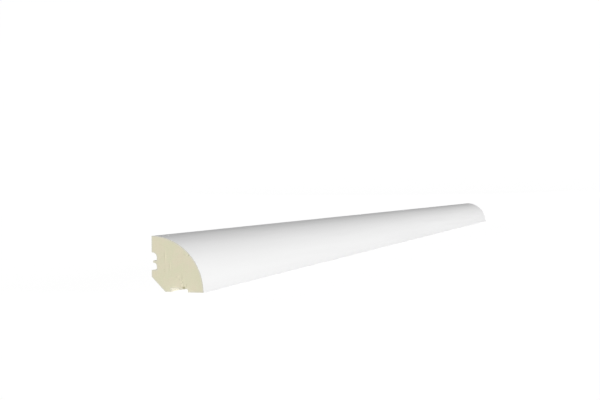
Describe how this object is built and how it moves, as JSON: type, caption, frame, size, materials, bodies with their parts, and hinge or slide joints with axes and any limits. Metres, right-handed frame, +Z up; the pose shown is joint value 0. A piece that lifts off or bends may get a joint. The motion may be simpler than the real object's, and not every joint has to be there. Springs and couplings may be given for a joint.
{
  "type": "quarter round moulding",
  "caption": "Straight quarter round moulding of raw fibreboard under a thin white foil, with relief grooves in its back and base and a chamfered heel. Covers the joint of floor and wall.",
  "frame": {"origin": "under the middle of the bar, in the plane of its base", "axes": "+X along the bar, +Y out of the back towards the wall, +Z up from the floor; the round face looks up and towards -Y, and the end at -X is the one the picture shows"},
  "size_m": [0.7, 0.017, 0.017],
  "materials": {
    "fibreboard": "raw medium density fibreboard, milled along its length and sawn square at the ends, matt",
    "white_foil": "thin white wrapping foil, smooth, satin"
  },
  "bodies": {
    "root": {"mdf_core": "fibreboard", "face_foil": "white_foil"}
  },
  "joints": []
}
